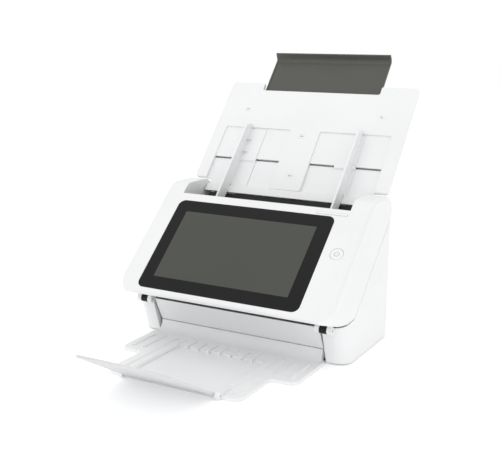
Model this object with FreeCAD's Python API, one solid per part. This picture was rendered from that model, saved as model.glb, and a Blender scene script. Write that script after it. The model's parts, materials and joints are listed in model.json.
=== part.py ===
import FreeCAD, Part
import math
import os

V = FreeCAD.Vector
os.makedirs("parts", exist_ok=True)

# Sheet fed desktop document scanner. Millimetres: X to the right, Y to the back, Z up.
# The design frame has Y = 0 on the housing's back face and Z = 0 on the table.
# export() moves every part by SHIFT_Y, so that the origin is the centre of the base.
SHIFT_Y = 125.3

# ---------------------------------------------------------------- driving dimensions
HALF_WIDTH = 144.0
WALL = 2.6
BODY_HEIGHT = 183.5
REAR_TOP_RADIUS = 22.0
SIDE_RADIUS = 4.0
LEG_FRONT_RADIUS = 16.0
REAR_CORNER_RADIUS = 10.0
SPLIT_GAP = 1.2
LEG_INNER_X = 117.2

PANEL_SLOPE = 41.87
PANEL_Y = -135.2
PANEL_Z = 119.0
PANEL_TOP_S = 79.8
PANEL_LIP_S = -79.2
PANEL_CORNER_RADIUS = 28.0
THROAT_HALF = 118.0

POWER_X, POWER_S, POWER_RADIUS = 122.0, 16.0, 8.0
RELEASE_X0, RELEASE_X1, RELEASE_S, RELEASE_WIDTH = 76.6, 116.6, 72.4, 3.0
GLASS_X0, GLASS_X1 = -116.0, 103.3
GLASS_S0, GLASS_S1 = -68.5, 68.3
GLASS_CORNER_RADIUS = 9.0
GLASS_THICKNESS = 1.6
GLASS_PROUD = 0.2
DISPLAY_X = -7.1
DISPLAY_WIDTH, DISPLAY_HEIGHT = 193.0, 111.0

TRAY_SLOPE = 49.44
TRAY_Y = 11.6
TRAY_Z = 212.5
TRAY_HALF = 140.5
TRAY_TOP_S = 127.8
TRAY_WIDE_S = -36.0
TRAY_BOTTOM_S = -45.0
NECK_HALF = 115.5
CHUTE_END_S = -59.5
CHUTE_CUTBACK = 3.0
RECESS_X0, RECESS_X1 = 22.0, 122.5
RECESS_TOP_S = 50.0
UPPER_FLOOR, LOWER_FLOOR = -1.6, -3.8
FLOOR_THICKNESS = 1.6
TRAY_SKIN = 2.2
TRAY_RIM = 5.0
LAYER_TOP, LAYER_BOTTOM = -5.7, -7.7
BACK_COVER_N0, BACK_COVER_N1 = -9.6, -8.0
EXTENSION_HALF = 87.0
NOTCH_S = 115.0

GUIDE_X = 83.5
GUIDE_THICKNESS = 2.5
PINION_TEETH = 16
MODULE = 1.0
PINION_S = -1.0

HINGE_Y, HINGE_Z = -156.0, 48.5
KNUCKLE_RADIUS = 4.5
HINGE_PIN_RADIUS = 2.0

PATH_STRAIGHT = 100.0
PATH_RADIUS = 137.7
PATH_TURN = 29.7
DECK_OFFSET = 1.5
DECK_THICKNESS = 2.0
DECK_HALF = 108.0
FRAME_X0, FRAME_X1 = 114.5, 116.5
NIP_GAP = 0.15
RUNNING_CLEARANCE = 0.05

FEED_T, FEED_RADIUS = 25.0, 12.0
UPPER_T, LOWER_T, DRIVE_RADIUS = 52.0, 138.5, 7.0
SEPARATION_RADIUS, IDLER_RADIUS = 10.0, 6.0
DRIVE_SHAFT_RADIUS, IDLER_SHAFT_RADIUS = 3.0, 2.0
SCAN_T0, SCAN_T1 = 67.0, 83.0
PULLEY_RADIUS, MOTOR_PULLEY_RADIUS, REDUCTION_PULLEY_RADIUS = 8.0, 5.0, 10.0
PULLEY_X0, PULLEY_X1 = 109.6, 113.6
BELT_GAP, BELT_THICKNESS = 0.3, 1.2
MOTOR_Y, MOTOR_Z, MOTOR_RADIUS = -72.0, 36.0, 17.5

FOOT_HEIGHT = 2.0
BASE_TOP = 4.5

OUT_HALF_EAR, OUT_HALF = 118.0, 87.0
OUT_REAR_Y, OUT_EAR_Y, OUT_FRONT_Y = -132.0, -218.0, -287.0
OUT_THICKNESS = 4.0
OUT_RECESS_HALF, OUT_RECESS_Y, OUT_RECESS_FLOOR = 59.3, -176.0, 1.8
STOPPER_Y, STOPPER_Z = -288.5, 4.6
STOPPER_HALF, STOPPER_LENGTH, STOPPER_TILT = 58.5, 107.0, 30.0
STOPPER_PIN_RADIUS = 1.2
RIB_XS = [-47.0 + 14.9 * i for i in range(7)]


# ---------------------------------------------------------------- geometry helpers
def block(x0, x1, y0, y1, z0, z1):
    return Part.makeBox(x1 - x0, y1 - y0, z1 - z0, V(x0, y0, z0))


def rod(x0, x1, y, z, radius):
    return Part.makeCylinder(radius, x1 - x0, V(x0, y, z), V(1, 0, 0))


def ring(x0, x1, y, z, outer, inner):
    return rod(x0, x1, y, z, outer).cut(rod(x0 - 1, x1 + 1, y, z, inner))


def peg(x, y, z0, z1, radius):
    return Part.makeCylinder(radius, z1 - z0, V(x, y, z0), V(0, 0, 1))


def rounded_wire(corners, place):
    """Closed wire through (u, v) or (u, v, radius) corners."""
    points = [V(c[0], c[1], 0) for c in corners]
    stretches = []
    for i, corner in enumerate(corners):
        here = points[i]
        radius = corner[2] if len(corner) > 2 else 0
        if not radius:
            stretches.append((here, None, here))
            continue
        back = (points[i - 1] - here).normalize()
        ahead = (points[(i + 1) % len(points)] - here).normalize()
        half = back.getAngle(ahead) / 2
        reach = radius / math.tan(half)
        inward = (back + ahead).normalize()
        middle = here + inward * (radius / math.sin(half) - radius)
        stretches.append((here + back * reach, middle, here + ahead * reach))
    edges = []
    for i, (start, middle, end) in enumerate(stretches):
        if middle is not None:
            edges.append(Part.Arc(place(start), place(middle), place(end)).toShape())
        following = stretches[(i + 1) % len(stretches)][0]
        if (following - end).Length > 1e-6:
            edges.append(Part.makeLine(place(end), place(following)))
    return Part.Wire(edges)


def side_prism(corners, x0, x1):
    """Solid with a (y, z) outline between two x planes."""
    face = Part.Face(rounded_wire(corners, lambda p: V(x0, p.x, p.y)))
    return face.extrude(V(x1 - x0, 0, 0))


def flat_prism(corners, z0, z1):
    """Solid with an (x, y) outline between two z planes."""
    face = Part.Face(rounded_wire(corners, lambda p: V(p.x, p.y, z0)))
    return face.extrude(V(0, 0, z1 - z0))


def rounded_plate(x0, x1, y0, y1, z0, z1, radius):
    return flat_prism([(x0, y0, radius), (x1, y0, radius), (x1, y1, radius), (x0, y1, radius)], z0, z1)


def fuse(shapes):
    return shapes[0].fuse(shapes[1:]).removeSplitter() if len(shapes) > 1 else shapes[0]


def cut(shape, tools):
    return shape.cut(tools) if tools else shape


def fillet_where(shape, radius, wanted):
    """Round the edges whose middle point passes the test."""
    chosen = [e for e in shape.Edges if wanted(e.valueAt((e.FirstParameter + e.LastParameter) / 2))]
    return shape.makeFillet(radius, chosen)


def mirror_x(shape):
    return shape.mirror(V(0, 0, 0), V(1, 0, 0))


def placed(shape, y, z, slope):
    """Stand a flat part, modelled as (x, up the slope, outward), on its sloping plane."""
    moved = shape.copy()
    stand = FreeCAD.Placement(V(0, y, z), FreeCAD.Rotation(V(1, 0, 0), slope))
    moved.Placement = stand.multiply(shape.Placement)
    return moved


def on_panel(shape):
    return placed(shape, PANEL_Y, PANEL_Z, PANEL_SLOPE)


def on_tray(shape):
    return placed(shape, TRAY_Y, TRAY_Z, TRAY_SLOPE)


def slope_point(y, z, slope, s, n):
    a = math.radians(slope)
    return (y + s * math.cos(a) - n * math.sin(a), z + s * math.sin(a) + n * math.cos(a))


def panel_point(s, n=0.0):
    return slope_point(PANEL_Y, PANEL_Z, PANEL_SLOPE, s, n)


def tray_point(s, n=0.0):
    return slope_point(TRAY_Y, TRAY_Z, TRAY_SLOPE, s, n)


def path_point(t, n=0.0):
    """(y, z) on the paper path, t along it from the chute's end and n towards the cover."""
    if t <= PATH_STRAIGHT:
        return tray_point(CHUTE_END_S - t, n)
    cy, cz = tray_point(CHUTE_END_S - PATH_STRAIGHT, PATH_RADIUS)
    a = math.radians(TRAY_SLOPE - 90) - (t - PATH_STRAIGHT) / PATH_RADIUS
    return (cy + (PATH_RADIUS - n) * math.cos(a), cz + (PATH_RADIUS - n) * math.sin(a))


PATH_END = PATH_STRAIGHT + math.radians(PATH_TURN) * PATH_RADIUS


def path_edges(n, t0, t1, x):
    """The path's line and arc, as edges in the plane x."""
    def at(t):
        y, z = path_point(t, n)
        return V(x, y, z)
    bend = min(max(t0, PATH_STRAIGHT), t1)
    edges = [Part.makeLine(at(t0), at(bend))] if bend - t0 > 1e-6 else []
    if t1 > bend:
        edges.append(Part.Arc(at(bend), at((bend + t1) / 2), at(t1)).toShape())
    return edges


def path_prism(n0, n1, t0, t1, x0, x1):
    """Plate that follows the paper path."""
    low = path_edges(n0, t0, t1, x0)
    high = path_edges(n1, t0, t1, x0)
    ends = [Part.makeLine(V(x0, *path_point(t, n0)), V(x0, *path_point(t, n1))) for t in (t0, t1)]
    face = Part.Face(Part.Wire(Part.sortEdges(low + high + ends)[0]))
    return face.extrude(V(x1 - x0, 0, 0))


def path_side(n, t0, t1, rest, x0, x1):
    """Solid bounded by the path at offset n and by the (y, z) points in rest."""
    edges = path_edges(n, t0, t1, x0)
    outline = [path_point(t1, n)] + rest + [path_point(t0, n)]
    edges += [Part.makeLine(V(x0, *a), V(x0, *b)) for a, b in zip(outline, outline[1:])]
    face = Part.Face(Part.Wire(Part.sortEdges(edges)[0]))
    return face.extrude(V(x1 - x0, 0, 0))


# ---------------------------------------------------------------- shared positions
FEED_AXIS = path_point(FEED_T, -(FEED_RADIUS + NIP_GAP))
UPPER_AXIS = path_point(UPPER_T, -(DRIVE_RADIUS + NIP_GAP))
LOWER_AXIS = path_point(LOWER_T, -(DRIVE_RADIUS + NIP_GAP))
SEPARATION_AXIS = path_point(FEED_T, SEPARATION_RADIUS + NIP_GAP)
UPPER_IDLER_AXIS = path_point(UPPER_T, IDLER_RADIUS + NIP_GAP)
LOWER_IDLER_AXIS = path_point(LOWER_T, IDLER_RADIUS + NIP_GAP)
DRIVE_AXES = [FEED_AXIS, UPPER_AXIS, LOWER_AXIS]
IDLER_AXES = [SEPARATION_AXIS, UPPER_IDLER_AXIS, LOWER_IDLER_AXIS]
FEED_TYRES = [(-27.0, -4.0), (4.0, 27.0)]
DRIVE_TYRES = [(-78.0, -62.0), (-36.0, -20.0), (20.0, 36.0), (62.0, 78.0)]
SEPARATION_TYRES = [(-12.0, 12.0)]

COVER_OUTLINE = [panel_point(PANEL_LIP_S), (-162, 56.8, 12), (-137, 53.0, 20), (-116, 54.0),
                 (0, BODY_HEIGHT - REAR_TOP_RADIUS), (0, BODY_HEIGHT, REAR_TOP_RADIUS),
                 (PANEL_Y + (BODY_HEIGHT - PANEL_Z) / math.tan(math.radians(PANEL_SLOPE)), BODY_HEIGHT, 20)]
SPLIT_TOP_Z = BODY_HEIGHT - REAR_TOP_RADIUS - SPLIT_GAP
SPLIT_LOW_Z = 54.0 - SPLIT_GAP


# ---------------------------------------------------------------- housing
def housing_outline(inset, floor):
    return [(-inset, floor), (-inset, SPLIT_TOP_Z - 1.37 * inset),
            (-116.5 + 0.4 * inset, SPLIT_LOW_Z - inset),
            (-150.4 + inset, 50.0 - inset), (-134 + 1.1 * inset, floor)]


PORTS = {"power_inlet": (92.0, 24.0, 9.4, 11.4),
         "usb_port": (66.0, 24.5, 12.6, 11.4),
         "network_port": (36.0, 26.0, 16.4, 13.8)}
LOCK_SLOT = (-118.0, 30.0, 7.0, 3.0)


def leg_room():
    """The hollow inside the right leg and cheek of the housing."""
    room = side_prism(housing_outline(WALL, -1), LEG_INNER_X + WALL, HALF_WIDTH - WALL)
    outer = HALF_WIDTH - WALL - 0.1
    room = fillet_where(room, LEG_FRONT_RADIUS - WALL,
            lambda p: p.x > outer and p.y < -130 and 10 < p.z < 40)
    return fillet_where(room, REAR_CORNER_RADIUS - WALL, lambda p: p.x > outer and p.y > -WALL - 0.1)


def make_rear_housing():
    body = side_prism(housing_outline(0, FOOT_HEIGHT - 0.5), -HALF_WIDTH, HALF_WIDTH)
    body = fillet_where(body, REAR_CORNER_RADIUS, lambda p: abs(p.x) > HALF_WIDTH - 0.1 and p.y > -0.1)
    body = fillet_where(body, LEG_FRONT_RADIUS,
                        lambda p: abs(p.x) > HALF_WIDTH - 0.1 and p.y < -136 and 10 < p.z < 40)
    cheek = leg_room()
    centre = block(-LEG_INNER_X, LEG_INNER_X, -170, -WALL, -1, 200)
    tools = [cheek, mirror_x(cheek), centre]
    for x, z, width, height in PORTS.values():
        tools.append(block(x - width / 2, x + width / 2, -WALL - 1, 1, z - height / 2, z + height / 2))
    x, z, width, height = LOCK_SLOT
    tools.append(block(x - width / 2, x + width / 2, -WALL - 1, 1, z - height / 2, z + height / 2))
    for row in range(6):
        for x in (-60.0, -20.0, 20.0, 60.0):
            tools.append(block(x - 14, x + 14, -WALL - 1, 1, 92 + 7 * row, 95 + 7 * row))
    return cut(body, tools + [bracket_foot(1), bracket_foot(-1)])


def bracket_foot(side):
    foot = block(120, 126, -152, -147.5, 44.5, 49.4)
    return foot if side > 0 else mirror_x(foot)


def make_hinge_bracket(side):
    knuckle = rod(118.5, 127.5, HINGE_Y, HINGE_Z, KNUCKLE_RADIUS)
    web = block(120, 126, HINGE_Y, -147.5, 44.5, 49.4)
    bracket = fuse([knuckle, web]).cut(rod(110, 140, HINGE_Y, HINGE_Z,
            HINGE_PIN_RADIUS + RUNNING_CLEARANCE))
    return bracket if side > 0 else mirror_x(bracket)


SCREW_SPOTS = [(-108, -118), (108, -118), (-108, -14), (108, -14)]
FOOT_SPOTS = [(-130, -112), (130, -112), (-130, -18), (130, -18)]


def make_bottom_plate():
    z0, z1 = FOOT_HEIGHT, BASE_TOP
    plate = block(-116.9, 116.9, -131, -3, z0, z1)
    holes = [peg(x, y, 0, 10, 1.6) for x, y in SCREW_SPOTS]
    holes += [peg(x, y, z0 - 1, z0 + 1, 3.2) for x, y in SCREW_SPOTS]
    slots = [block(x - 1.5, x + 1.5, -90, -40, 0, 10) for x in (-50, -40, -30, -20, -10, 0, 10, 20)]
    return cut(plate, holes + slots)


def make_rubber_feet():
    feet = [peg(x, y, 0, FOOT_HEIGHT, 6.5) for x, y in FOOT_SPOTS]
    feet = [fillet_where(f, 0.6, lambda p: p.z < 0.01) for f in feet]
    return Part.makeCompound(feet)


def make_leg_floor(side):
    floor = leg_room().common(block(0, HALF_WIDTH, -200, 0, FOOT_HEIGHT, BASE_TOP))
    return floor if side > 0 else mirror_x(floor)


def make_housing_screws():
    screws = [fuse([peg(x, y, FOOT_HEIGHT, BASE_TOP + 5, 1.6),
            peg(x, y, FOOT_HEIGHT, FOOT_HEIGHT + 1, 3.2)])
              for x, y in SCREW_SPOTS]
    return Part.makeCompound(screws)


def make_apron_panel():
    outline = [(-150, 48), (-133.9, 17.2), (-131.4, 17.2), (-131.4, BASE_TOP + 0.1),
            (-129.2, BASE_TOP + 0.1),
               (-129.2, 18), (-146, 46.6), (-140, 46.6), (-140, 48)]
    return side_prism(outline, -113.5, 113.5)


def make_paper_chute():
    lip_s = CHUTE_END_S + CHUTE_CUTBACK
    front_top, front_low = tray_point(TRAY_BOTTOM_S - 0.4), tray_point(lip_s)
    outline = [front_low, front_top, tray_point(TRAY_BOTTOM_S - 0.4, -13.5), (0, 170.5, 3),
            (0, SPLIT_TOP_Z + 0.5),
               (-WALL, SPLIT_TOP_Z + 0.5), (-WALL, 169.0), tray_point(TRAY_BOTTOM_S - 2.6, -13.5),
               tray_point(TRAY_BOTTOM_S - 2.6, -2.4), tray_point(lip_s, -2.4)]
    chute = side_prism(outline, -116.5, 116.5)
    sockets = [on_tray(block(x - 10.6, x + 10.6, -50, -40, -6.3, -3.4)) for x in (-80.0, 80.0)]
    return cut(chute, sockets)


def roller_windows(axes_radii, clearance=1.0):
    """Openings in a guide plate for rollers: tyres as (x0, x1) at an axis."""
    tools = []
    for (y, z), radius, tyres in axes_radii:
        for x0, x1 in tyres:
            tools.append(rod(x0 - clearance, x1 + clearance, y, z, radius + clearance))
        tools.append(rod(-130, 130, y, z, IDLER_SHAFT_RADIUS + 1.2))
    return tools


def make_lower_guide_plate():
    plate = path_prism(-DECK_OFFSET, -DECK_OFFSET - DECK_THICKNESS, 1.4 - CHUTE_CUTBACK, PATH_END - 2,
            -DECK_HALF,
            DECK_HALF)
    windows = roller_windows([(FEED_AXIS, FEED_RADIUS, FEED_TYRES), (UPPER_AXIS, DRIVE_RADIUS, DRIVE_TYRES),
                              (LOWER_AXIS, DRIVE_RADIUS, DRIVE_TYRES)])
    slot = path_prism(0, -10, SCAN_T0, SCAN_T1, -105.0, 105.0)
    return cut(plate, windows + [slot])


def make_side_frame(side):
    rest = [(-145, 44), (-130.5, 14), (-127.5, BASE_TOP + 0.05), (-6, BASE_TOP + 0.05), (-6, 156),
            tray_point(CHUTE_END_S - 2.5, -14)]
    frame = path_side(-DECK_OFFSET - 0.5, 3.0, PATH_END - 3, rest, FRAME_X0, FRAME_X1)
    holes = [rod(100, 130, y, z, DRIVE_SHAFT_RADIUS + 2.5) for y, z in DRIVE_AXES]
    windows = [side_prism([(-60, 20, 6), (-20, 20, 6), (-20, 95, 6), (-60, 60, 6)], 110, 120)]
    frame = cut(frame, holes + windows)
    return frame if side > 0 else mirror_x(frame)


def make_cross_bars():
    """Tie bars that hold the two side frames and the guide plate apart."""
    bars = [rod(-FRAME_X0, FRAME_X0, y, z, 3.0) for y, z in ((-22, 30), (-16, 146), (-122, 22))]
    return Part.makeCompound(bars)


def make_shaft_bushes():
    bushes = []
    for y, z in DRIVE_AXES:
        bush = ring(FRAME_X0, FRAME_X1, y, z, DRIVE_SHAFT_RADIUS + 2.5,
                DRIVE_SHAFT_RADIUS + RUNNING_CLEARANCE)
        bushes += [bush, mirror_x(bush)]
    return Part.makeCompound(bushes)


def make_scan_module(direction):
    near, far = (3.6, 18.0) if direction > 0 else (-18.0, -3.6)
    box = path_prism(near, far, SCAN_T0 + 0.5, SCAN_T1 - 0.5, -104.0, 104.0)
    lens_slot = path_prism(-direction * 0.5 + direction * 3.6, direction * 8, 73, 77, -102.0, 102.0)
    ribs = [path_prism(direction * 18.0, direction * 20.0, 70, 80, x - 1, x + 1) for x in (-90, -45, 0,
            45, 90)]
    return fuse([box.cut(lens_slot)] + ribs)


def make_scan_glass(direction):
    return path_prism(direction * 1.5, direction * 3.5, SCAN_T0 + 0.2, SCAN_T1 - 0.2, -104.5, 104.5)


def make_main_board():
    board = block(-70, 104, -12.2, -10.6, 14, 84)
    holes = [Part.makeCylinder(1.6, 10, V(x, -16, z), V(0, 1, 0)) for x in (-64, 96) for z in (20, 78)]
    chips = [block(-30, -8, -14.4, -12.2, 45, 67), block(10, 24, -13.6, -12.2, 52, 66),
             block(-62, -44, -13.4, -12.2, 30, 40), block(40, 62, -15.0, -12.2, 58, 68)]
    return fuse([cut(board, holes)] + chips)


def make_port(name):
    x, z, width, height = PORTS[name]
    shell = block(x - width / 2 + 0.2, x + width / 2 - 0.2, -10.6, -0.3, z - height / 2 + 0.2,
            z + height / 2 - 0.2)
    if name == "power_inlet":
        bore = Part.makeCylinder(3.2, 8.5, V(x, -8.5, z), V(0, 1, 0))
        pin = Part.makeCylinder(1.0, 7.5, V(x, -9.0, z), V(0, 1, 0))
        return shell.cut(bore).fuse(pin)
    if name == "usb_port":
        socket = block(x - 4.3, x + 4.3, -9.2, 0, z - 4.0, z + 4.0)
        tongue = block(x - 2.8, x + 2.8, -9.6, -1.6, z - 1.5, z + 1.5)
        return shell.cut(socket).fuse(tongue)
    socket = block(x - 5.9, x + 5.9, -9.2, 0, z - 4.2, z + 3.8)
    key = block(x - 3.0, x + 3.0, -9.2, 0, z - 6.0, z - 4.0)
    return shell.cut([socket, key])


def make_drive_motor():
    body = rod(62, 102, MOTOR_Y, MOTOR_Z, MOTOR_RADIUS)
    body = fillet_where(body, 2.0, lambda p: p.x < 62.1)
    flange = rod(102, 104, MOTOR_Y, MOTOR_Z, MOTOR_RADIUS - 3)
    plug = block(66, 80, MOTOR_Y - 6, MOTOR_Y + 6, MOTOR_Z + MOTOR_RADIUS - 3, MOTOR_Z + MOTOR_RADIUS + 4)
    return fuse([body, flange, plug])


def make_motor_bracket():
    plate = side_prism([(-96, BASE_TOP, 0), (-48, BASE_TOP, 0), (-48, 60, 8), (-96, 60, 8)], 104, 106)
    foot = block(90, 104, -96, -92, BASE_TOP, BASE_TOP + 2)
    foot2 = block(90, 104, -52, -48, BASE_TOP, BASE_TOP + 2)
    return fuse([plate, foot, foot2]).cut(rod(100, 110, MOTOR_Y, MOTOR_Z, 4.0))


def hull_of_discs(discs, x0, x1):
    """Convex hull of two discs (y, z, radius), from x0 to x1."""
    (ya, za, ra), (yb, zb, rb) = discs
    along = math.atan2(zb - za, yb - ya)
    spread = math.acos((ra - rb) / math.hypot(yb - ya, zb - za))
    corners = []
    for (y, z, r), sign in (((ya, za, ra), 1), ((yb, zb, rb), 1), ((yb, zb, rb), -1), ((ya, za, ra), -1)):
        corners.append((y + r * math.cos(along + sign * spread), z + r * math.sin(along + sign * spread)))
    return fuse([side_prism(corners, x0, x1), rod(x0, x1, ya, za, ra), rod(x0, x1, yb, zb, rb)])


def belt(discs, x0, x1):
    def grown(extra, a, b):
        bigger = [(y, z, r + extra) for y, z, r in discs]
        pairs = [hull_of_discs([p, q], a, b) for i, p in enumerate(bigger) for q in bigger[i + 1:]]
        if len(discs) > 2:
            pairs.append(side_prism([(y, z) for y, z, _ in discs], a, b))
        return fuse(pairs)
    return grown(BELT_GAP + BELT_THICKNESS, x0, x1).cut(grown(BELT_GAP, x0 - 1, x1 + 1))


def make_timing_belt():
    return belt([(y, z, PULLEY_RADIUS) for y, z in DRIVE_AXES], -PULLEY_X1 + 0.5, -PULLEY_X0 - 0.5)


def make_motor_belt():
    discs = [LOWER_AXIS + (REDUCTION_PULLEY_RADIUS,), (MOTOR_Y, MOTOR_Z, MOTOR_PULLEY_RADIUS)]
    return belt(discs, PULLEY_X0 + 0.5, PULLEY_X1 - 0.5)


# ---------------------------------------------------------------- rollers
def make_shaft(axis, radius, half):
    shaft = rod(-half, half, axis[0], axis[1], radius)
    return shaft.makeChamfer(0.4, [e for e in shaft.Edges if len(e.Vertexes) == 1])


def make_tyres(axis, radius, shaft_radius, tyres):
    rings = [ring(a, b, axis[0], axis[1], radius, shaft_radius) for a, b in tyres]
    return Part.makeCompound(rings)


def make_idler(axis):
    rollers = [rod(a, b, axis[0], axis[1], IDLER_RADIUS) for a, b in DRIVE_TYRES]
    return fuse([make_shaft(axis, IDLER_SHAFT_RADIUS, 106.3)] + rollers)


def make_pulley(axis, radius, shaft_radius, x0, x1):
    wheel = ring(x0, x1, axis[0], axis[1], radius, shaft_radius)
    holes = [rod(x0 - 1, x1 + 1, axis[0] + 0.62 * radius * math.cos(a),
            axis[1] + 0.62 * radius * math.sin(a),
                 0.16 * radius) for a in [math.radians(72 * i) for i in range(5)]]
    return cut(wheel, holes)


# ---------------------------------------------------------------- front cover
def panel_column(half, low, radius, depth):
    corners = [(-half, low, radius), (half, low, radius), (half, 200), (-half, 200)]
    return on_panel(flat_prism(corners, -depth, 60))


def make_cover_shell():
    solid = side_prism(COVER_OUTLINE, -HALF_WIDTH, HALF_WIDTH)
    solid = solid.common(panel_column(HALF_WIDTH, PANEL_LIP_S - 2, PANEL_CORNER_RADIUS + 2, 200))

    def outer_edge(p):
        on_front = abs(p.z - panel_height(p.y)) < 0.02 and p.y < -60
        on_side = abs(abs(p.x) - HALF_WIDTH) < 0.01 and p.z > split_height(p.y) + 2 and p.y > -150
        return on_front and (abs(p.x) > 118 or p.y < -190) or on_side and p.z > panel_height(p.y) - 0.02 \
            or on_side and p.y > -62
    solid = fillet_where(solid, SIDE_RADIUS, outer_edge)
    slope = math.radians(PANEL_SLOPE)
    inner_top_y = PANEL_Y + (BODY_HEIGHT - WALL - PANEL_Z + WALL / math.cos(slope)) / math.tan(slope)
    inner = [(-158, 40), (-158, 58.8), (-181.0, 65.0), panel_point(-64, -WALL),
             (inner_top_y, BODY_HEIGHT - WALL, 17),
             (-WALL, BODY_HEIGHT - WALL, REAR_TOP_RADIUS - WALL), (-WALL, 150), (-116, 44)]
    hollow = side_prism(inner, -HALF_WIDTH + WALL, HALF_WIDTH - WALL)
    hollow = hollow.common(panel_column(HALF_WIDTH - WALL, PANEL_LIP_S + 6, PANEL_CORNER_RADIUS + 1, 200))
    throat = on_panel(block(-THROAT_HALF, THROAT_HALF, PANEL_TOP_S, 260, -200, 60))
    shell = solid.cut(hollow)
    wall_zone = on_panel(block(THROAT_HALF, THROAT_HALF + WALL, PANEL_TOP_S - WALL, 260, -200, 60))
    wall = side_prism(COVER_OUTLINE, THROAT_HALF, THROAT_HALF + WALL).common(wall_zone)
    shell = shell.cut(throat).fuse([wall, mirror_x(wall)])
    recess = rounded_plate(GLASS_X0 - 0.2, GLASS_X1 + 0.2, GLASS_S0 - 0.2, GLASS_S1 + 0.2,
                           GLASS_PROUD - GLASS_THICKNESS, 20, GLASS_CORNER_RADIUS + 0.2)
    window = rounded_plate(DISPLAY_X - DISPLAY_WIDTH / 2 - 1, DISPLAY_X + DISPLAY_WIDTH / 2 + 1,
                           -DISPLAY_HEIGHT / 2 - 1, DISPLAY_HEIGHT / 2 + 1, -10, 1, 2)
    power_hole = peg(POWER_X, POWER_S, -10, 10, POWER_RADIUS + 0.35)
    release_hole = capsule(RELEASE_X0 - 0.4, RELEASE_X1 + 0.4, RELEASE_S, RELEASE_WIDTH / 2 + 0.4, -10, 10)
    shell = cut(shell, [on_panel(t) for t in (recess, window, power_hole, release_hole)])
    return shell.removeSplitter()


def panel_height(y):
    return PANEL_Z + (y - PANEL_Y) * math.tan(math.radians(PANEL_SLOPE))


def split_height(y):
    return SPLIT_LOW_Z + (y + 116) * (SPLIT_TOP_Z - SPLIT_LOW_Z) / 116 if y > -116 else SPLIT_LOW_Z


def capsule(x0, x1, s, radius, n0, n1):
    """Flat bar with round ends, along x."""
    return rounded_plate(x0, x1, s - radius, s + radius, n0, n1, radius - 0.01)


def make_touch_glass():
    glass = rounded_plate(GLASS_X0, GLASS_X1, GLASS_S0, GLASS_S1, GLASS_PROUD - GLASS_THICKNESS,
            GLASS_PROUD,
                          GLASS_CORNER_RADIUS)
    glass = fillet_where(glass, 0.5, lambda p: p.z > GLASS_PROUD - 0.01)
    return on_panel(glass)


def make_display_module():
    top = GLASS_PROUD - GLASS_THICKNESS
    x0, x1 = DISPLAY_X - DISPLAY_WIDTH / 2, DISPLAY_X + DISPLAY_WIDTH / 2
    module = block(x0, x1, -DISPLAY_HEIGHT / 2, DISPLAY_HEIGHT / 2, top - 5, top)
    ribs = [block(x0, x1, s - 1, s + 1, top - 6.5, top - 5) for s in (-50, 50)]
    return on_panel(fuse([module] + ribs))


def make_display_board():
    top = GLASS_PROUD - GLASS_THICKNESS - 6.5
    board = block(-70, 50, -51, 51, top - 1.6, top)
    chips = [block(-40, -22, -10, 8, top - 3.4, top - 1.6), block(0, 12, -20, -8, top - 3, top - 1.6),
             block(20, 44, 20, 28, top - 4.6, top - 1.6)]
    return on_panel(fuse([board] + chips))


def make_cover_inner_frame():
    half, thickness = 106.5, 2.5
    plate = path_prism(DECK_OFFSET, DECK_OFFSET + DECK_THICKNESS, 36.0, PATH_END - 1, -half, half)
    rest = [(-157.6, 58.4), (-158.5, 60.5), panel_point(-52, -WALL), panel_point(PANEL_TOP_S - 2, -WALL),
            panel_point(PANEL_TOP_S - 2, -26)]
    cheek = path_side(DECK_OFFSET, 36.0, PATH_END - 1, rest, half - thickness, half)
    throat_wall = on_panel(block(-half, half, PANEL_TOP_S - 4, PANEL_TOP_S - 2, -26, -WALL))
    front_bar = side_prism([(-157.6, 58.4), (-155, 58.4), (-155, 70), (-157.6, 70)], -half, half)
    frame = fuse([plate, cheek, mirror_x(cheek), throat_wall, front_bar])
    tools = roller_windows([(UPPER_IDLER_AXIS, IDLER_RADIUS, DRIVE_TYRES),
                            (LOWER_IDLER_AXIS, IDLER_RADIUS, DRIVE_TYRES),
                            (SEPARATION_AXIS, SEPARATION_RADIUS, SEPARATION_TYRES)])
    tools = [t for t in tools if t.BoundBox.XLength < 200]
    tools += [rod(-120, 120, y, z, IDLER_SHAFT_RADIUS + RUNNING_CLEARANCE) for y, z in IDLER_AXES]
    tools.append(path_prism(0, 12, SCAN_T0, SCAN_T1, -104.9, 104.9))
    tools.append(path_prism(3.5, 22, SCAN_T0 - 2, SCAN_T1 + 2, -104.0, 104.0))
    button_room = on_panel(block(RELEASE_X0 - 3, RELEASE_X1 + 3, RELEASE_S - 6, PANEL_TOP_S, -10, 0))
    glass_room = on_panel(block(-104.5, 91, -58, 58, -14, 0))
    tools += [button_room, glass_room]
    return cut(frame, tools)


def make_hinge_arm(side):
    knuckles = [rod(a, b, HINGE_Y, HINGE_Z, KNUCKLE_RADIUS) for a, b in ((112.5, 118.2), (127.8, 133.5))]
    webs = [block(a, b, HINGE_Y - 3.5, HINGE_Y + 1.5, HINGE_Z, 57.4) for a,
            b in ((112.5, 118.2), (127.8, 133.5))]
    plate = block(112.5, 133.5, -157.9, -151, 57.4, 60)
    arm = fuse(knuckles + webs + [plate])
    skin = side_prism([(-170, 40), (-157.95, 40), (-157.95, 57.4), (-170, 57.4)], 100, 140)
    under = side_prism([(-170, 53.0), (-150, 53.0), (-150, 57.4), (-170, 59.5)], 118.2, 127.8)
    arm = arm.cut([skin.cut(rod(100, 140, HINGE_Y, HINGE_Z, KNUCKLE_RADIUS + 0.5)), under])
    arm = arm.cut(rod(110, 140, HINGE_Y, HINGE_Z, HINGE_PIN_RADIUS))
    return arm if side > 0 else mirror_x(arm)


def make_hinge_pins():
    pin = rod(112.6, 133.4, HINGE_Y, HINGE_Z, HINGE_PIN_RADIUS)
    return Part.makeCompound([pin, mirror_x(pin)])


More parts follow.
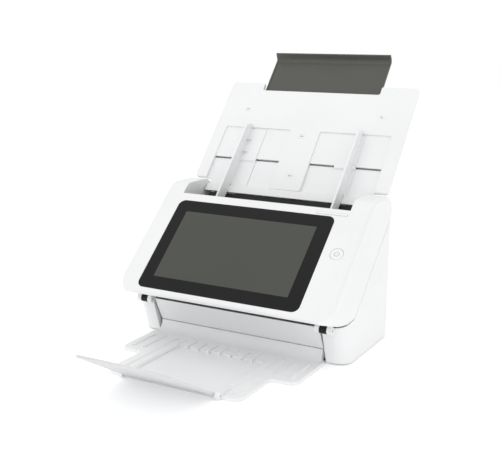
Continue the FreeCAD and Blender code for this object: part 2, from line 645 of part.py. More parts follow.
def make_power_button():
    cap = peg(POWER_X, POWER_S, -2.4, 0.3, POWER_RADIUS)
    cap = fillet_where(cap, 0.8, lambda p: p.z > 0.29)
    stem = peg(POWER_X, POWER_S, -9, -2.4, 2.6)
    collar = peg(POWER_X, POWER_S, -4.2, -WALL - 0.1, POWER_RADIUS + 1.2)
    return on_panel(fuse([cap, stem, collar]))


def make_release_button():
    cap = capsule(RELEASE_X0, RELEASE_X1, RELEASE_S, RELEASE_WIDTH / 2, -WALL - 0.1, 0.3)
    flange = capsule(RELEASE_X0 - 1.5, RELEASE_X1 + 1.5, RELEASE_S, RELEASE_WIDTH / 2 + 1.2, -4.2,
            -WALL - 0.1)
    stem = block(94.6, 98.6, RELEASE_S - 1.2, RELEASE_S + 1.2, -8, -4.2)
    return on_panel(fuse([cap, flange, stem]))


# ---------------------------------------------------------------- input tray
def make_input_tray_panel():
    outline = [(-TRAY_HALF, TRAY_WIDE_S, 4), (-NECK_HALF, TRAY_WIDE_S), (-NECK_HALF, TRAY_BOTTOM_S),
               (NECK_HALF, TRAY_BOTTOM_S), (NECK_HALF, TRAY_WIDE_S), (TRAY_HALF, TRAY_WIDE_S, 4),
               (TRAY_HALF, TRAY_TOP_S, 5), (EXTENSION_HALF + 1, TRAY_TOP_S, 2),
               (EXTENSION_HALF + 1, NOTCH_S, 3),
               (-EXTENSION_HALF - 1, NOTCH_S, 3), (-EXTENSION_HALF - 1, TRAY_TOP_S, 2),
               (-TRAY_HALF, TRAY_TOP_S, 5)]
    panel = flat_prism(outline, -TRAY_RIM, 0)
    panel = fillet_where(panel, 1.2,
            lambda p: p.z > -0.01 and (abs(p.x) > TRAY_HALF - 0.1 or p.y > NOTCH_S - 0.1))
    rim = 2.4
    under = flat_prism([(-TRAY_HALF + rim, TRAY_WIDE_S + rim), (TRAY_HALF - rim, TRAY_WIDE_S + rim),
                        (TRAY_HALF - rim, TRAY_TOP_S - rim), (EXTENSION_HALF + 1 + rim, TRAY_TOP_S - rim),
                        (EXTENSION_HALF + 1 + rim, NOTCH_S - rim),
                        (-EXTENSION_HALF - 1 - rim, NOTCH_S - rim),
                        (-EXTENSION_HALF - 1 - rim, TRAY_TOP_S - rim),
                        (-TRAY_HALF + rim, TRAY_TOP_S - rim)],
                       -20, -TRAY_SKIN)
    middle_rib = block(-RECESS_X0, RECESS_X0, TRAY_BOTTOM_S, 30, -20, -TRAY_SKIN)
    panel = panel.cut([under, middle_rib])
    additions, pockets = [], []
    for sign in (1, -1):
        x0, x1 = sorted((sign * RECESS_X0, sign * RECESS_X1))
        pad = FLOOR_THICKNESS
        additions.append(block(x0 - pad, x1 + pad, -2, RECESS_TOP_S + pad, UPPER_FLOOR - pad, -0.01))
        additions.append(block(x0 - pad, x1 + pad, TRAY_BOTTOM_S, 0, LOWER_FLOOR - pad, -0.01))
        pockets.append(rounded_plate(x0, x1, -2.0, RECESS_TOP_S, UPPER_FLOOR, 1, 2))
        pockets.append(block(x0, x1, TRAY_BOTTOM_S - 1, -2.0, LOWER_FLOOR, 1))
        pockets.append(block(x0, x1, -4.0, 10, UPPER_FLOOR, 1))
        pockets.append(block(x0, x1, -2.0, 0.0, -20, 1))
    neck = block(-200, 200, TRAY_BOTTOM_S, 200, -20, 20)
    lower_room = [block(a, b, TRAY_BOTTOM_S - 1, TRAY_WIDE_S, -20, 20)
                  for a, b in ((-200, -NECK_HALF), (NECK_HALF, 200))]
    panel = fuse([panel] + additions).common(neck).cut(pockets + lower_room)
    tabs = [rounded_tab(x) for x in (-80.0, 80.0)]
    return on_tray(fuse([panel] + tabs))


def rounded_tab(x):
    tab = rounded_plate(x - 10, x + 10, -57, TRAY_BOTTOM_S + 4, -5.7, -4.0, 3)
    return tab.fuse(block(x - 10, x + 10, TRAY_BOTTOM_S, TRAY_BOTTOM_S + 4, -5.7, -4.0))


def make_tray_back_cover():
    outer = [(-128, -33, 4), (128, -33, 4), (128, 110, 6), (-128, 110, 6)]
    inner = [(-125.5, -30.5, 2), (125.5, -30.5, 2), (125.5, 107.5, 4), (-125.5, 107.5, 4)]
    shell = flat_prism(outer, BACK_COVER_N0, -TRAY_RIM - 0.6).cut(flat_prism(inner, BACK_COVER_N1, 0))
    upstand = flat_prism(outer, -TRAY_RIM - 0.7, -TRAY_SKIN).cut(flat_prism(inner, -20, 0))
    shell = fuse([shell, upstand])
    exit_gap = block(-EXTENSION_HALF - 1, EXTENSION_HALF + 1, 100, 120, BACK_COVER_N1, 0)
    ribs = [block(x - 0.8, x + 0.8, 16, 107, BACK_COVER_N1, LAYER_BOTTOM - 0.1) for x in (-60, -20, 20, 60)]
    recess_room = [block(min(s * 20, s * 126), max(s * 20, s * 126), -60, 52, LOWER_FLOOR - 1.7, 0)
                   for s in (1, -1)]
    pin = peg(0, PINION_S, BACK_COVER_N1, LAYER_TOP, 2.0)
    neck_room = block(-128, 128, -60, -30.5, LOWER_FLOOR - 1.7, 0)
    return on_tray(fuse([shell] + ribs + [pin]).cut([exit_gap, neck_room] + recess_room))


def gear_outline(teeth, module):
    pitch = module * teeth / 2
    points = []
    for i in range(teeth):
        middle = 360.0 / teeth * (i + 0.5)
        for radius, half in ((pitch - 1.15 * module, -0.95), (pitch + 0.8 * module, -0.32),
                             (pitch + 0.8 * module, 0.32), (pitch - 1.15 * module, 0.95)):
            a = math.radians(middle) + half * module / radius
            points.append((radius * math.cos(a), PINION_S + radius * math.sin(a)))
    return points


def make_guide_pinion():
    wheel = flat_prism(gear_outline(PINION_TEETH, MODULE), LAYER_BOTTOM, LAYER_TOP)
    return on_tray(wheel.cut(peg(0, PINION_S, -20, 0, 2.0 + RUNNING_CLEARANCE)))


def rack_flat():
    pitch_line = PINION_S + MODULE * PINION_TEETH / 2
    root = pitch_line + 1.15 * MODULE
    bar = block(-88, 34, root, root + 4, LAYER_BOTTOM, LAYER_TOP)
    bridge = block(-87, -58, -0.2, root + 4, LAYER_BOTTOM, LAYER_TOP)
    teeth = []
    for i in range(-11, 10):
        x = math.pi * MODULE * i
        tip = pitch_line - 0.8 * MODULE
        teeth.append(flat_prism([(x - 0.95, root + 0.2), (x - 0.32, tip), (x + 0.32, tip),
                (x + 0.95, root + 0.2)],
                                LAYER_BOTTOM, LAYER_TOP))
    return fuse([bar, bridge] + teeth)


def make_rack(side):
    rack = rack_flat()
    if side > 0:
        rack = rack.copy()
        rack.rotate(V(0, PINION_S, 0), V(0, 0, 1), 180)
    return on_tray(rack)


def make_guide(side):
    fin = side_prism([(-82, 1.2), (-82, 19, 3), (44, 15, 3), (53, 5, 2), (53, 0.3), (47, 0.3), (47, -0.3),
                      (TRAY_BOTTOM_S + 2, -0.3), (TRAY_BOTTOM_S + 2, 1.2)], -GUIDE_X,
                      -GUIDE_X + GUIDE_THICKNESS)
    root = side_prism([(TRAY_BOTTOM_S + 1, LOWER_FLOOR + 0.2), (-2.2, LOWER_FLOOR + 0.2),
            (-2.2, UPPER_FLOOR + 0.2),
                       (-0.2, UPPER_FLOOR + 0.2), (47, UPPER_FLOOR + 0.2), (47, 0.5),
                       (TRAY_BOTTOM_S + 1, 0.5)],
                      -GUIDE_X, -GUIDE_X + GUIDE_THICKNESS)
    base = side_prism([(TRAY_BOTTOM_S + 1, LOWER_FLOOR + 0.2), (-1.8, LOWER_FLOOR + 0.2),
            (-1.8, LAYER_BOTTOM),
                       (-0.2, LAYER_BOTTOM), (-0.2, UPPER_FLOOR + 0.2), (47, UPPER_FLOOR + 0.2), (47, -0.4),
                       (-4, -0.4), (-6, -2.2), (TRAY_BOTTOM_S + 1, -2.2)], -87, -58)
    ribs = [block(-GUIDE_X, -GUIDE_X + 9, s, s + 1.2, -0.5, 4) for s in (8, 28)]
    guide = fuse([fin, root, base] + ribs)
    return on_tray(guide if side < 0 else mirror_x(guide))


def make_tray_extension():
    n0, n1 = LAYER_BOTTOM, LAYER_TOP
    plate = flat_prism([(-EXTENSION_HALF, 88, 4), (EXTENSION_HALF, 88, 4), (EXTENSION_HALF, 173, 0),
                        (-EXTENSION_HALF, 173, 0)], n0, n1)
    lip = side_prism([(165, n0), (177.5, n0, 7), (180.5, 3.0, 1), (178.0, 4.0, 0.8), (173.6, n1, 6),
            (165, n1)],
                     -EXTENSION_HALF, EXTENSION_HALF)
    rims = [block(a, b, 118, 172, n1 - 0.01, n1 + 0.5) for a, b in ((-87, -84.6), (84.6, 87))]
    return on_tray(fuse([plate, lip] + rims))


# ---------------------------------------------------------------- output tray
def make_output_tray():
    outline = [(-113, OUT_REAR_Y), (113, OUT_REAR_Y), (113, -140), (OUT_HALF_EAR, -146, 4),
               (OUT_HALF_EAR, OUT_EAR_Y, 12), (OUT_HALF, OUT_EAR_Y, 6), (OUT_HALF, OUT_FRONT_Y, 12),
               (OUT_RECESS_HALF, OUT_FRONT_Y), (-OUT_RECESS_HALF, OUT_FRONT_Y),
               (-OUT_HALF, OUT_FRONT_Y, 12),
               (-OUT_HALF, OUT_EAR_Y, 6), (-OUT_HALF_EAR, OUT_EAR_Y, 12), (-OUT_HALF_EAR, -146, 4),
               (-113, -140)]
    plate = flat_prism(outline, 0, OUT_THICKNESS)
    plate = fillet_where(plate, 1.2, lambda p: p.z > OUT_THICKNESS - 0.01 and p.y < -150
                         and (abs(p.x) > OUT_RECESS_HALF + 1))
    rise = block(-113, 113, -146.9, OUT_REAR_Y, 0, 16.4).cut(rod(-120, 120, -147, 16.5, 12.5))
    bosses = []
    for sign in (1, -1):
        x0, x1 = sorted((sign * OUT_RECESS_HALF, sign * (OUT_RECESS_HALF + 6)))
        bosses.append(side_prism([(-292, 1.0, 1), (-280, 1.0), (-262, OUT_THICKNESS - 0.2), (-274, 6.2, 8),
                                  (-288.5, 7.8, 3), (-292, 5, 1)], x0, x1))
    solid = fuse([plate, rise] + bosses)
    recess = rounded_plate(-OUT_RECESS_HALF, OUT_RECESS_HALF, -310, OUT_RECESS_Y, OUT_RECESS_FLOOR, 20, 6)
    solid = solid.cut(recess)
    ridges = []
    for x, y0, y1 in ((62.5, -262, -158), (74.5, -276, -158), (92.0, -206, -158), (107.0, -206, -158)):
        for sign in (1, -1):
            ridge = rod(0, y1 - y0, 0, 0, 2.2)
            ridge.rotate(V(0, 0, 0), V(0, 0, 1), 90)
            ridge.translate(V(sign * x, y0, OUT_THICKNESS - 0.6))
            ridges.append(ridge.common(block(-200, 200, -400, 0, 1, 20)))
    ribs = [side_prism([(-180.5, OUT_RECESS_FLOOR - 0.3), (-180.5, 4.9, 1.0), (-157, 5.2),
                        (-156.4, 3.0)], x - 1.3, x + 1.3) for x in RIB_XS]
    solid = fuse([solid] + ridges + ribs)
    holes = [rod(-70, 70, STOPPER_Y, STOPPER_Z, STOPPER_PIN_RADIUS)]
    clearance = rod(-STOPPER_HALF - 0.8, STOPPER_HALF + 0.8, STOPPER_Y, STOPPER_Z, 3.2)
    return cut(solid, holes + [clearance])


def make_paper_stopper():
    length = STOPPER_LENGTH
    half = STOPPER_HALF
    knuckle = rod(-half, half, 0, 0, 2.3)
    plate = flat_prism([(-half, 0), (-half, -length + 4, 14), (half, -length + 4, 14), (half, 0)],
            -1.2, 1.2)
    bow = Part.Face(Part.Wire([Part.makeLine(V(-half + 12, -length + 5, -1.2),
            V(half - 12, -length + 5, -1.2)),
                               Part.Arc(V(half - 12, -length + 5, -1.2), V(0, -length, -1.2),
                                        V(-half + 12, -length + 5, -1.2)).toShape()])).extrude(V(0, 0, 2.4))
    ribs = [block(x - 1, x + 1, -length + 16, -4, 1.1, 2.0) for x in (-34, 0, 34)]
    flap = fuse([knuckle, plate, bow] + ribs)
    holes = [rod(a, b, 0, 0, STOPPER_PIN_RADIUS + RUNNING_CLEARANCE) for a, b in ((-half - 1, -half + 5),
                                                                               (half - 5, half + 1))]
    flap = cut(flap, holes)
    flap.rotate(V(0, 0, 0), V(1, 0, 0), -STOPPER_TILT)
    flap.translate(V(0, STOPPER_Y, STOPPER_Z))
    return flap


def make_stopper_pins():
    pin = rod(STOPPER_HALF - 4.5, OUT_RECESS_HALF + 5.5, STOPPER_Y, STOPPER_Z, STOPPER_PIN_RADIUS)
    return Part.makeCompound([pin, mirror_x(pin)])


# ---------------------------------------------------------------- all sub-parts
def build():
    parts = {}
    parts["rear_housing"] = make_rear_housing()
    parts["hinge_bracket_left"] = make_hinge_bracket(-1)
    parts["hinge_bracket_right"] = make_hinge_bracket(1)
    parts["bottom_plate"] = make_bottom_plate().fuse([make_leg_floor(1), make_leg_floor(-1)])
    parts["rubber_feet"] = make_rubber_feet()
    parts["housing_screws"] = make_housing_screws()
    parts["apron_panel"] = make_apron_panel()
    parts["paper_chute"] = make_paper_chute()
    parts["lower_guide_plate"] = make_lower_guide_plate()
    parts["side_frame_left"] = make_side_frame(-1)
    parts["side_frame_right"] = make_side_frame(1)
    parts["cross_bars"] = make_cross_bars()
    parts["shaft_bushes"] = make_shaft_bushes()
    parts["rear_scan_module"] = make_scan_module(-1)
    parts["rear_scan_glass"] = make_scan_glass(-1)
    parts["main_board"] = make_main_board()
    for name in PORTS:
        parts[name] = make_port(name)
    parts["drive_motor"] = make_drive_motor()
    parts["motor_bracket"] = make_motor_bracket()
    parts["timing_belt"] = make_timing_belt()
    parts["motor_belt"] = make_motor_belt()

    shaft = DRIVE_SHAFT_RADIUS
    left = (-PULLEY_X1, -PULLEY_X0)
    parts["feed_roller_shaft"] = make_shaft(FEED_AXIS, shaft, 116.8)
    parts["feed_roller_tyres"] = make_tyres(FEED_AXIS, FEED_RADIUS, shaft, FEED_TYRES)
    parts["feed_roller_pulley"] = make_pulley(FEED_AXIS, PULLEY_RADIUS, shaft, *left)
    parts["upper_roller_shaft"] = make_shaft(UPPER_AXIS, shaft, 116.8)
    parts["upper_roller_tyres"] = make_tyres(UPPER_AXIS, DRIVE_RADIUS, shaft, DRIVE_TYRES)
    parts["upper_roller_pulley"] = make_pulley(UPPER_AXIS, PULLEY_RADIUS, shaft, *left)
    parts["lower_roller_shaft"] = make_shaft(LOWER_AXIS, shaft, 116.8)
    parts["lower_roller_tyres"] = make_tyres(LOWER_AXIS, DRIVE_RADIUS, shaft, DRIVE_TYRES)
    parts["lower_roller_pulleys"] = Part.makeCompound([
        make_pulley(LOWER_AXIS, PULLEY_RADIUS, shaft, *left),
        make_pulley(LOWER_AXIS, REDUCTION_PULLEY_RADIUS, shaft, PULLEY_X0, PULLEY_X1)])
    motor_pulley = rod(104.4, PULLEY_X1, MOTOR_Y, MOTOR_Z, 2.0)
    motor_pulley = motor_pulley.fuse(make_pulley((MOTOR_Y, MOTOR_Z), MOTOR_PULLEY_RADIUS, 2.0,
            PULLEY_X0, PULLEY_X1))
    parts["motor_pulley"] = motor_pulley

    parts["cover_shell"] = make_cover_shell()
    parts["cover_inner_frame"] = make_cover_inner_frame()
    parts["touch_glass"] = make_touch_glass()
    parts["display_module"] = make_display_module()
    parts["display_board"] = make_display_board()
    parts["front_scan_module"] = make_scan_module(1)
    parts["front_scan_glass"] = make_scan_glass(1)
    parts["hinge_arm_left"] = make_hinge_arm(-1)
    parts["hinge_arm_right"] = make_hinge_arm(1)
    parts["hinge_pins"] = make_hinge_pins()
    parts["separation_roller_shaft"] = make_shaft(SEPARATION_AXIS, IDLER_SHAFT_RADIUS, 106.3)
    parts["separation_roller_tyre"] = make_tyres(SEPARATION_AXIS, SEPARATION_RADIUS, IDLER_SHAFT_RADIUS,
                                                 SEPARATION_TYRES)
    parts["upper_idler"] = make_idler(UPPER_IDLER_AXIS)
    parts["lower_idler"] = make_idler(LOWER_IDLER_AXIS)
    parts["power_button"] = make_power_button()
    parts["release_button"] = make_release_button()

    parts["input_tray_panel"] = make_input_tray_panel()
    parts["tray_back_cover"] = make_tray_back_cover()
    parts["guide_pinion"] = make_guide_pinion()
    parts["guide_left"] = make_guide(-1)
    parts["guide_right"] = make_guide(1)
    parts["rack_left"] = make_rack(-1)
    parts["rack_right"] = make_rack(1)
    parts["tray_extension"] = make_tray_extension()

    parts["output_tray"] = make_output_tray()
    parts["paper_stopper"] = make_paper_stopper()
    parts["stopper_pins"] = make_stopper_pins()
    return parts


def export(parts):
    for name, shape in parts.items():
        moved = shape.copy()
        moved.translate(V(0, SHIFT_Y, 0))
        if not moved.isValid():
            print("INVALID", name)
        moved.exportStep("parts/" + name + ".step")
    everything = Part.makeCompound(list(parts.values())).optimalBoundingBox(False)
    print("parts", len(parts), "box x", everything.XMin, everything.XMax, "y", everything.YMin,
            everything.YMax,
          "z", everything.ZMin, everything.ZMax, "centre y", (everything.YMin + everything.YMax) / 2)


if __name__ == "__main__":
    export(build())
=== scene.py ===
"""Looks for the sheet fed document scanner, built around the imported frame. Metres."""
import json
import math

import bpy
from mathutils import Matrix, Vector


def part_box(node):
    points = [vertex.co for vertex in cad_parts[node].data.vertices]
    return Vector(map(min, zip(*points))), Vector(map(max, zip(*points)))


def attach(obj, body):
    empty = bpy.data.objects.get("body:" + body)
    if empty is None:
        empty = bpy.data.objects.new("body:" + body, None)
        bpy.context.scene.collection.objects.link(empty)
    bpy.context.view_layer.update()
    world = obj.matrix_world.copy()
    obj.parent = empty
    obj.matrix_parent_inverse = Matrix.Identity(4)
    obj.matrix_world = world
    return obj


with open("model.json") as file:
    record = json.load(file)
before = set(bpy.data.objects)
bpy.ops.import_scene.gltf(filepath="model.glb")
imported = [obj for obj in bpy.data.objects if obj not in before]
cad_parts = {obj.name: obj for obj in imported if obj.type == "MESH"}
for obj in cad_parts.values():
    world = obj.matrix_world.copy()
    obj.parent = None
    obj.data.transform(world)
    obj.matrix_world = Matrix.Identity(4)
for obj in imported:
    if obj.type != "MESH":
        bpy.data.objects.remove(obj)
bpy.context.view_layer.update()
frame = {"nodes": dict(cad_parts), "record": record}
JOINTS = {joint["name"]: joint for joint in frame["record"]["behaviour"]["joints"]}

# ---------------------------------------------------------------- driving values
CAMERA_AT = Vector((0.50392, -0.90256, 0.36935))
CAMERA_AZIMUTH, CAMERA_ELEVATION, CAMERA_ROLL = 28.73, 11.93, 0.569
CAMERA_LENS = 63.06
FLOOR_Z = -0.0002
FLOOR_GLOW = 0.22
WORLD_STRENGTH = 1.0
KEY_POWER, TOP_POWER = 5, 2
LIGHTS_AIM = (0, 0, 0.1)

DISPLAY_SIZE = (0.1836, 0.1017)
DISPLAY_CORNER = 0.0008
DISPLAY_PROUD = 0.00012
DISPLAY_SUNK = -0.0002
MARK_SUNK, MARK_PROUD = -0.0002, 0.0003
POWER_MARK_SUNK, POWER_MARK_PROUD = -0.0001, 0.00008

RIGHT = Vector((1, 0, 0))
TRAY_UP = Vector(JOINTS["input_tray_lift_off"]["axis"])
TRAY_OUT = RIGHT.cross(TRAY_UP)
PANEL_OUT = -Vector(JOINTS["power_button_press"]["axis"])
PANEL_UP = PANEL_OUT.cross(RIGHT)


# ---------------------------------------------------------------- materials
def node(tree, kind, **inputs):
    made = tree.nodes.new(kind)
    for name, value in inputs.items():
        made.inputs[name.replace("_", " ")].default_value = value
    return made


def new_material(name, color, roughness, **settings):
    """A principled material and its tree, ready for texture nodes."""
    material = bpy.data.materials.new(name)
    material.use_nodes = True
    tree = material.node_tree
    shader = tree.nodes["Principled BSDF"]
    shader.inputs["Base Color"].default_value = (*color, 1)
    shader.inputs["Roughness"].default_value = roughness
    for key, value in settings.items():
        shader.inputs[key.replace("_", " ")].default_value = value
    return material, tree, shader


def object_noise(tree, scale, detail=3.0, stretch=(1, 1, 1)):
    place = tree.nodes.new("ShaderNodeTexCoord")
    mapping = tree.nodes.new("ShaderNodeMapping")
    mapping.inputs["Scale"].default_value = stretch
    noise = node(tree, "ShaderNodeTexNoise", Scale=scale, Detail=detail)
    tree.links.new(place.outputs["Object"], mapping.inputs["Vector"])
    tree.links.new(mapping.outputs["Vector"], noise.inputs["Vector"])
    return noise.outputs["Fac"]


def vary_color(tree, shader, fac, dark, light):
    ramp = tree.nodes.new("ShaderNodeValToRGB")
    ramp.color_ramp.elements[0].position = 0.3
    ramp.color_ramp.elements[1].position = 0.7
    ramp.color_ramp.elements[0].color = (*dark, 1)
    ramp.color_ramp.elements[1].color = (*light, 1)
    tree.links.new(fac, ramp.inputs["Fac"])
    tree.links.new(ramp.outputs["Color"], shader.inputs["Base Color"])


def vary_roughness(tree, shader, fac, low, high):
    spread = tree.nodes.new("ShaderNodeMapRange")
    spread.inputs["To Min"].default_value = low
    spread.inputs["To Max"].default_value = high
    tree.links.new(fac, spread.inputs["Value"])
    tree.links.new(spread.outputs["Result"], shader.inputs["Roughness"])


def add_bump(tree, shader, fac, strength, distance):
    bump = node(tree, "ShaderNodeBump", Strength=strength, Distance=distance)
    tree.links.new(fac, bump.inputs["Height"])
    tree.links.new(bump.outputs["Normal"], shader.inputs["Normal"])


def moulded_plastic(name, dark, light, roughness, grain=2600, strength=0.25, **settings):
    """Moulded plastic: faint tone drift, uneven satin and a fine spark-eroded grain."""
    material, tree, shader = new_material(name, light, roughness, **settings)
    vary_color(tree, shader, object_noise(tree, 9, 2), dark, light)
    vary_roughness(tree, shader, object_noise(tree, 60, 4), roughness - 0.05, roughness + 0.05)
    add_bump(tree, shader, object_noise(tree, grain, 2), strength, 0.00004)
    return material


def brushed_metal(name, color, roughness, stretch):
    material, tree, shader = new_material(name, color, roughness, Metallic=1.0)
    lines = object_noise(tree, 300, 4, stretch)
    vary_color(tree, shader, lines, tuple(0.85 * c for c in color), color)
    vary_roughness(tree, shader, lines, roughness - 0.08, roughness + 0.1)
    add_bump(tree, shader, lines, 0.2, 0.00003)
    return material


def rubber(name, color):
    material, tree, shader = new_material(name, color, 0.8)
    vary_color(tree, shader, object_noise(tree, 120, 4), tuple(0.7 * c for c in color), color)
    add_bump(tree, shader, object_noise(tree, 1500, 3), 0.5, 0.00008)
    return material


def printed_glass(name, color, roughness):
    """Black-backed cover glass: glossy, with a trace of finger smear in its roughness."""
    material, tree, shader = new_material(name, color, roughness, Specular_IOR_Level=0.22)
    vary_roughness(tree, shader, object_noise(tree, 14, 5), roughness, roughness + 0.06)
    vary_color(tree, shader, object_noise(tree, 5, 2), tuple(0.9 * c for c in color), color)
    return material


def circuit_board(name):
    material, tree, shader = new_material(name, (0.02, 0.16, 0.07), 0.4)
    cells = tree.nodes.new("ShaderNodeTexVoronoi")
    cells.inputs["Scale"].default_value = 260
    place = tree.nodes.new("ShaderNodeTexCoord")
    tree.links.new(place.outputs["Object"], cells.inputs["Vector"])
    vary_color(tree, shader, cells.outputs["Distance"], (0.012, 0.10, 0.045), (0.03, 0.20, 0.09))
    add_bump(tree, shader, cells.outputs["Distance"], 0.3, 0.0001)
    return material


WHITE = moulded_plastic("white_plastic", (0.80, 0.805, 0.81), (0.835, 0.84, 0.845), 0.42)
WHITE_GLOSS = moulded_plastic("white_button", (0.80, 0.81, 0.82), (0.84, 0.845, 0.85), 0.3, strength=0.08)
# Stopper flap: white plastic darkened to grey, painted shade standing in for the shadow on its underside.
STOPPER_PAINTED_SHADE = moulded_plastic("stopper_plastic", (0.62, 0.63, 0.64), (0.68, 0.69, 0.70), 0.45)
SMOKE = moulded_plastic("smoke_plastic", (0.060, 0.061, 0.052), (0.070, 0.071, 0.061), 0.36, strength=0.1)
BLACK = moulded_plastic("black_plastic", (0.006, 0.006, 0.0065), (0.010, 0.010, 0.0105), 0.45,
                         Specular_IOR_Level=0.25)
ACETAL = moulded_plastic("roller_plastic", (0.66, 0.66, 0.63), (0.74, 0.74, 0.71), 0.4)
TOUCH = printed_glass("touch_glass", (0.0045, 0.0045, 0.005), 0.14)
SCREEN = printed_glass("display_screen", (0.068, 0.072, 0.062), 0.28)
SCAN_GLASS = printed_glass("scan_glass", (0.10, 0.13, 0.12), 0.06)
STEEL = brushed_metal("steel", (0.56, 0.57, 0.58), 0.32, (1, 40, 40))
FRAME_METAL = brushed_metal("display_metal", (0.5, 0.5, 0.51), 0.4, (1, 30, 30))
BRONZE = brushed_metal("bronze", (0.55, 0.38, 0.2), 0.45, (30, 30, 1))
RUBBER = rubber("rubber", (0.035, 0.035, 0.037))
BOARD = circuit_board("board")
MARK = moulded_plastic("mark_grey", (0.34, 0.35, 0.35), (0.40, 0.41, 0.41), 0.5)

SLOT_LOOKS = {"white_plastic": WHITE, "smoke_plastic": SMOKE, "stopper_plastic": STOPPER_PAINTED_SHADE,
              "black_plastic": BLACK, "roller_plastic": ACETAL, "port_plastic": BLACK,
              "touch_glass": TOUCH, "scan_glass": SCAN_GLASS, "display_metal": FRAME_METAL,
              "rubber": RUBBER, "steel": STEEL, "bronze": BRONZE, "board": BOARD}
for entry in frame["record"]["subparts"]:
    piece = frame["nodes"][entry["node"]]
    for slot in piece.material_slots:
        slot.material = SLOT_LOOKS[entry["material_slot"]]
for name in ("power_button", "release_button"):
    for slot in frame["nodes"][name].material_slots:
        slot.material = WHITE_GLOSS


# ---------------------------------------------------------------- mesh helpers
def reach(name, direction):
    """Lowest and highest distance of a node's points along a direction."""
    spans = [v.co.dot(direction) for v in frame["nodes"][name].data.vertices]
    return min(spans), max(spans)


def add_piece(name, points, faces, material, body):
    mesh = bpy.data.meshes.new(name)
    mesh.from_pydata(points, [], faces)
    mesh.update()
    mesh.materials.append(material)
    made = bpy.data.objects.new(name, mesh)
    bpy.context.collection.objects.link(made)
    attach(made, body)
    return made


def rounded_loop(width, height, radius, steps=8):
    points = []
    for cx, cy, start in ((1, 1, 0), (-1, 1, 90), (-1, -1, 180), (1, -1, 270)):
        for i in range(steps + 1):
            a = math.radians(start + 90 * i / steps)
            points.append((cx * (width / 2 - radius) + radius * math.cos(a),
                           cy * (height / 2 - radius) + radius * math.sin(a)))
    return points


def extruded(name, loops, low, high, put, material, body):
    """Closed plate from an outer loop and an optional inner loop of the same count."""
    outer = loops[0]
    count = len(outer)
    points = [put(x, y, n) for n in (low, high) for x, y in outer]
    faces = [(i, (i + 1) % count, count + (i + 1) % count, count + i) for i in range(count)]
    if len(loops) == 1:
        faces += [tuple(reversed(range(count))), tuple(range(count, 2 * count))]
    else:
        points += [put(x, y, n) for n in (low, high) for x, y in loops[1]]
        for i in range(count):
            j = (i + 1) % count
            faces.append((2 * count + j, 2 * count + i, 3 * count + i, 3 * count + j))
            faces.append((count + i, count + j, 3 * count + j, 3 * count + i))
            faces.append((j, i, 2 * count + i, 2 * count + j))
    return add_piece(name, points, faces, material, body)


def on_plane(up, out, x0, s0, n0):
    """Places flat (x, s, n) points on a sloping plane."""
    return lambda x, s, n: RIGHT * (x0 + x) + up * (s0 + s) + out * (n0 + n)


# ---------------------------------------------------------------- display and power mark
glass_low, glass_high = reach("touch_glass", PANEL_UP)
glass_top = reach("touch_glass", PANEL_OUT)[1]
display_lo, display_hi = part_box("display_module")
screen_x = (display_lo[0] + display_hi[0]) / 2
screen_place = on_plane(PANEL_UP, PANEL_OUT, screen_x, (glass_low + glass_high) / 2, glass_top)
screen_loop = rounded_loop(*DISPLAY_SIZE, DISPLAY_CORNER)
extruded("display_active_area", [screen_loop], DISPLAY_SUNK, DISPLAY_PROUD, screen_place, SCREEN,
         "front_cover")

power_lo, power_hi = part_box("power_button")
power_s = sum(reach("power_button", PANEL_UP)) / 2
power_top = reach("power_button", PANEL_OUT)[1]
power_place = on_plane(PANEL_UP, PANEL_OUT, (power_lo[0] + power_hi[0]) / 2, power_s, power_top)


def power_mark():
    """The standard power sign: an open ring with a short bar at its gap."""
    radius, width, opening, steps = 0.0030, 0.00032, 38, 28
    points, faces = [], []
    for i in range(steps + 1):
        a = math.radians(90 + opening + (360 - 2 * opening) * i / steps)
        for r in (radius - width, radius + width):
            for n in (POWER_MARK_SUNK, POWER_MARK_PROUD):
                points.append(power_place(r * math.cos(a), r * math.sin(a), n))
    for i in range(steps):
        a, b = 4 * i, 4 * i + 4
        faces += [(a + 1, a + 3, b + 3, b + 1), (a, b, b + 2, a + 2)]
        faces += [(a, a + 1, b + 1, b), (a + 2, b + 2, b + 3, a + 3)]
    faces += [(0, 2, 3, 1), (4 * steps, 4 * steps + 1, 4 * steps + 3, 4 * steps + 2)]
    add_piece("power_mark_ring", points, faces, MARK, "power_key")
    bar = [(x, s + 0.0024) for x, s in rounded_loop(2 * width, 0.0030, width * 0.9, 4)]
    extruded("power_mark_bar", [bar], POWER_MARK_SUNK, POWER_MARK_PROUD, power_place, MARK,
             "power_key")


power_mark()

# ---------------------------------------------------------------- moulded marks on the trays
tray_top = reach("input_tray_panel", TRAY_UP)[1]
tray_face = reach("input_tray_panel", TRAY_OUT)[1]


def sheet_mark(name, x, below_top, size, turn, face=tray_face):
    """A generic raised page outline with a short line in it."""
    c, s = math.cos(turn), math.sin(turn)
    base = on_plane(TRAY_UP, TRAY_OUT, x, tray_top - below_top, face)

    def put(u, v, n):
        return base(u * c - v * s, u * s + v * c, n)
    outer = rounded_loop(size, size * 0.7, size * 0.12, 5)
    inner = rounded_loop(size * 0.8, size * 0.5, size * 0.06, 5)
    extruded(name, [outer, inner], MARK_SUNK, MARK_PROUD, put, WHITE, "input_tray")
    bar = rounded_loop(size * 0.42, size * 0.1, size * 0.04, 4)
    extruded(name + "_bar", [bar], MARK_SUNK, MARK_PROUD, put, MARK, "input_tray")


sheet_mark("tray_mark_left", -0.0994, 0.0473, 0.009, 0.5)
sheet_mark("tray_mark_right", 0.101, 0.0498, 0.009, -0.5)
sheet_mark("tray_mark_upper", -0.0025, 0.0873, 0.011, 0.0)
sheet_mark("tray_mark_lower", 0.001, 0.1508, 0.011, 0.0)

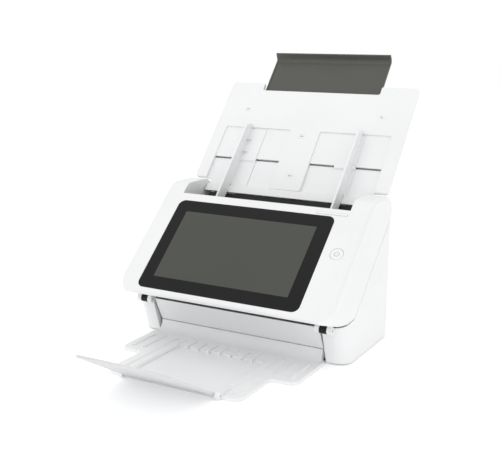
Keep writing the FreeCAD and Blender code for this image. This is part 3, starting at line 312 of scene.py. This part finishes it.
# ---------------------------------------------------------------- stage, lights and camera
floor_mesh = bpy.data.meshes.new("floor")
floor_corners = [(x, y, FLOOR_Z) for x, y in ((-6, -6), (6, -6), (6, 6), (-6, 6))]
floor_mesh.from_pydata(floor_corners, [], [(0, 1, 2, 3)])
floor = bpy.data.objects.new("floor", floor_mesh)
bpy.context.collection.objects.link(floor)
floor_look, floor_tree, floor_shader = new_material("floor_paper", (0.93, 0.93, 0.93), 0.7)
vary_color(floor_tree, floor_shader, object_noise(floor_tree, 3, 2), (0.92, 0.92, 0.92), (0.94, 0.94, 0.94))
floor_shader.inputs["Emission Color"].default_value = (1, 1, 1, 1)
floor_shader.inputs["Emission Strength"].default_value = FLOOR_GLOW
floor_mesh.materials.append(floor_look)

world = bpy.data.worlds.new("studio")
bpy.context.scene.world = world
world.use_nodes = True
world.node_tree.nodes["Background"].inputs["Color"].default_value = (1, 1, 1, 1)
world.node_tree.nodes["Background"].inputs["Strength"].default_value = WORLD_STRENGTH


def area_light(name, at, target, size, power):
    data = bpy.data.lights.new(name, "AREA")
    data.shape = "SQUARE"
    data.size = size
    data.energy = power
    lamp = bpy.data.objects.new(name, data)
    lamp.location = at
    lamp.rotation_euler = (Vector(target) - Vector(at)).to_track_quat("-Z", "Y").to_euler()
    bpy.context.collection.objects.link(lamp)


area_light("key", (-0.9, -1.6, 1.9), LIGHTS_AIM, 1.6, KEY_POWER)
area_light("top", (0.1, 0.2, 2.2), LIGHTS_AIM, 2.0, TOP_POWER)

azimuth, elevation = math.radians(CAMERA_AZIMUTH), math.radians(CAMERA_ELEVATION)
back = Vector((math.sin(azimuth) * math.cos(elevation), -math.cos(azimuth) * math.cos(elevation),
               math.sin(elevation)))
level = Vector((math.cos(azimuth), math.sin(azimuth), 0))
upright = back.cross(level)
roll = math.radians(CAMERA_ROLL)
across = math.cos(roll) * level + math.sin(roll) * upright
above = -math.sin(roll) * level + math.cos(roll) * upright
camera_data = bpy.data.cameras.new("camera")
camera_data.sensor_width = 36
camera_data.lens = CAMERA_LENS
camera = bpy.data.objects.new("camera", camera_data)
camera.matrix_world = Matrix.Translation(CAMERA_AT) @ Matrix((across, above, back)).transposed().to_4x4()
bpy.context.collection.objects.link(camera)
bpy.context.scene.camera = camera
bpy.context.scene.view_settings.view_transform = "Standard"
